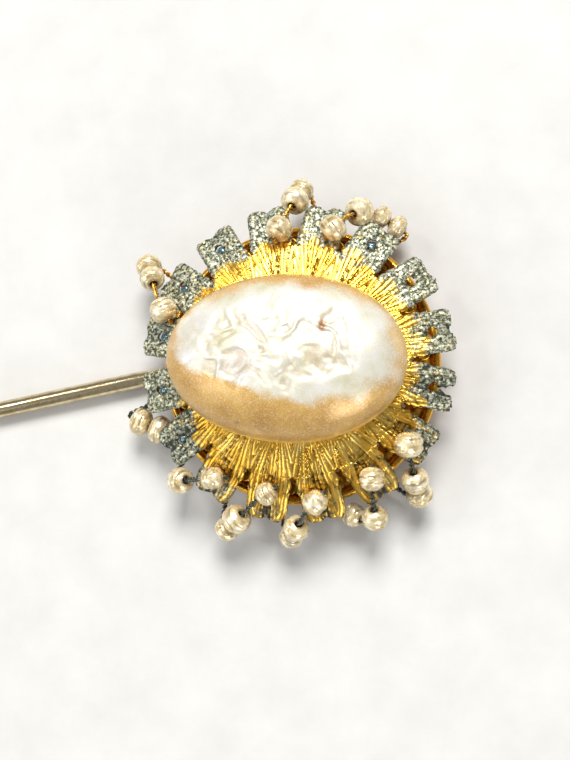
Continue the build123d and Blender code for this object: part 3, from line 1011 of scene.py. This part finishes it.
def wire_corners(number):
    """Corner points of one wire: up through the metal, through its beads and back to the rim."""
    measured = [bead_measure(node) for node in wire_beads(number)]
    centre, axis, _, length = measured[0]
    first = centre - axis * (length / 2 + RUN_START)
    foot = Vector((first.x, first.y, 0)).normalized() * min(first.xy.length, RIM_R)
    corners = [foot + Vector((0, 0, PLATE_TOP)), first]
    for current, following in zip(measured, measured[1:]):
        if current[1].dot(following[1]) > SAME_RUN:
            continue
        corners.append(current[0] + current[1] * (current[3] / 2 + RUN_END))
    centre, axis, _, length = measured[-1]
    last = centre + axis * (length / 2 + LAST_RUN)
    angle = math.atan2(last.y, last.x)
    petal_angle = round(angle / PITCH) * PITCH
    rim = polar(angle + UNDER_PETAL * (petal_angle - angle), RIM_R + RIM_TUBE * 0.7, RIM_Z)
    turn = (axis + (rim - last).normalized()).normalized()
    return corners + [last, last + turn * RETURN_RUN, rim]


def rounded_path(corners, bend, step):
    """Points along straight runs, with an arc at each corner."""
    path = [corners[0]]
    for before, corner, after in zip(corners, corners[1:], corners[2:]):
        arriving = (corner - before).normalized()
        leaving = (after - corner).normalized()
        turn = arriving.angle(leaving)
        reach = bend * math.tan(turn / 2)
        count = max(3, int(turn * bend / step))
        start = corner - arriving * reach
        end = corner + leaving * reach
        for i in range(count + 1):
            t = i / count
            path.append(start * (1 - t)**2 + corner * 2 * t * (1 - t) + end * t**2)
    path.append(corners[-1])
    even = [path[0]]
    for point in path[1:]:
        gap = point - even[-1]
        pieces = max(1, round(gap.length / step))
        first = even[-1]
        even += [first + gap * (k / pieces) for k in range(1, pieces + 1)]
    return even


def make_wire(number, materials):
    """One twisted wire of two strands."""
    path = rounded_path(wire_corners(number), BEND_R, WIRE_STEP)
    vertices, faces = [], []
    for strand in range(2):
        made, quads = sweep_points(
            path, [STRAND_R] * len(path), STRAND_SIDES, start=len(vertices),
            phase=strand * math.pi, offset=STRAND_OFFSET, pitch=STRAND_PITCH)
        vertices += made
        faces += quads
    gilt = number in GILT_WIRES
    piece = make_object(f"twisted_wire_{number}", vertices, faces, materials[gilt], "pin")
    clean_mesh(piece)
    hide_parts(f"bead_wire_{number}")


# --- backing plate ------------------------------------------------------------------
def through(points, steps):
    """A smooth line through points, with that many steps from each to the next."""
    smooth = []
    for i in range(len(points) - 1):
        p0, p1 = points[max(i - 1, 0)], points[i]
        p2, p3 = points[i + 1], points[min(i + 2, len(points) - 1)]
        for k in range(steps):
            t = k / steps
            smooth.append(0.5 * (2 * p1 + (p2 - p0) * t + (2 * p0 - 5 * p1 + 4 * p2 - p3) * t * t
                                 + (3 * p1 - p0 - 3 * p2 + p3) * t**3))
    smooth.append(points[-1])
    return smooth


def curl_path(sector, side):
    """One curl of the openwork, from the plate's middle out to the rim and back in."""
    middle = (sector + 0.5) * PITCH
    points = [polar(middle + side * share * PITCH / 2, radius, RIM_Z - 0.2) for radius, share in CURL_COURSE]
    return through(points, CURL_STEPS)


def make_backing_plate():
    """The pierced plate: a middle disc, curls, and a rolled rim. Returns its material."""
    material = plate_material()
    vertices, faces = [], []
    turns = [2 * math.pi * k / RIM_SIDES for k in range(RIM_SIDES)]
    rim = [(RIM_R + RIM_TUBE * math.cos(a), RIM_Z + RIM_TUBE * math.sin(a)) for a in turns]
    for profile in (rim, DISC_SECTION, RING_SECTION):
        made, quads = lathe(profile, PLATE_SIDES, Matrix.Identity(4))
        faces += [tuple(index + len(vertices) for index in quad) for quad in quads]
        vertices += made
    for sector in range(PETALS):
        for side in (-1, 1):
            path = curl_path(sector, side)
            radii = [CURL_R - CURL_THINNING * k / len(path) for k in range(len(path))]
            made, quads = sweep_points(path, radii, STRAND_SIDES, start=len(vertices))
            vertices += made
            faces += quads
    piece = make_object("pierced_plate", vertices, faces, material, "pin")
    clean_mesh(piece)
    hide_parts("backing_plate")
    return material


# --- stem, stones and the back ------------------------------------------------------
def stem_profile(length):
    """Radius and height of the stem's rings, from its root to its point."""
    straight_start = STEM_ROOT + STEM_SHOULDER
    taper_start = length - STEM_TAPER
    straight = taper_start - STEM_ROOT - STEM_SHOULDER
    profile = [(STEM_CORE_R, 0), (STEM_ROOT_R - STEM_CHAMFER, 0)]
    profile += [(STEM_ROOT_R, STEM_CHAMFER), (STEM_ROOT_R, STEM_ROOT)]
    profile += [(STEM_R, straight_start + straight * k / STEM_ROWS) for k in range(STEM_ROWS + 1)]
    for k in range(1, TAPER_ROWS + 1):
        radius = STEM_R + (STEM_POINT_R - STEM_R) * (k / TAPER_ROWS) ** 1.25
        profile.append((radius, taper_start + STEM_TAPER * k / TAPER_ROWS))
    return profile + [(STEM_CORE_R, length)]


def make_stem():
    """The long pin as a fine round, tapering to its point."""
    low, high = (Vector(corner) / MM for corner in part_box("stem"))
    middle = (low + high) / 2
    profile = stem_profile(high.x - low.x)
    place = axis_matrix(Vector((high.x, middle.y, middle.z)), Vector((-1, 0, 0)))
    vertices = turned(profile, STEM_SIDES, place)
    faces = grid_faces(len(profile), STEM_SIDES, wrap_columns=True)
    faces.append(tuple(range(STEM_SIDES)))
    faces.append(tuple((len(profile) - 1) * STEM_SIDES + j for j in range(STEM_SIDES)))
    piece = make_object("stem_shaft", vertices, faces, stem_material(), "pin")
    clean_mesh(piece)
    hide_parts("stem")


def make_stones():
    """The small round stones in the petals' holes."""
    stone = stone_material()
    slope = math.atan2(dish_height(HOLE_CENTRE_R - 0.1) - dish_height(HOLE_CENTRE_R + 0.1), 0.2)
    for index, petal in enumerate(STONED, start=1):
        normal = polar(petal * PITCH, math.sin(slope), math.cos(slope))
        height = dish_height(HOLE_CENTRE_R) + hollow(0, HOLE_CENTRE_R)
        seat = polar(petal * PITCH, HOLE_CENTRE_R, height)
        vertices, faces = lathe(STONE_SECTION, STONE_SIDES, axis_matrix(seat, normal))
        piece = make_object(f"stone_{index}", vertices, faces, stone, "pin")
        clean_mesh(piece)
        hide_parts(f"petal_stone_{index}")


def dress_cad(node, material):
    """Gives a CAD node that keeps its shape a better material."""
    carried = frame["nodes"][node]
    for slot_place in carried.material_slots:
        slot_place.material = material


make_camera()
make_lights()
make_floor()
make_sunburst()
make_cabochon()
pearl = bead_material()
for index, bead_node in enumerate(sorted(name for name in joints if name.startswith("bead_"))):
    make_bead(bead_node, index, pearl)
wire_materials = {True: wire_material(True), False: wire_material(False)}
for wire_number in range(1, WIRES + 1):
    make_wire(wire_number, wire_materials)
plate = make_backing_plate()
make_stem()
make_stones()
dress_cad("cabochon_cement", cement_material())
for plain_node in ("spacer_tube", "centre_rivet", "back_cover", "stem_socket"):
    dress_cad(plain_node, plate)
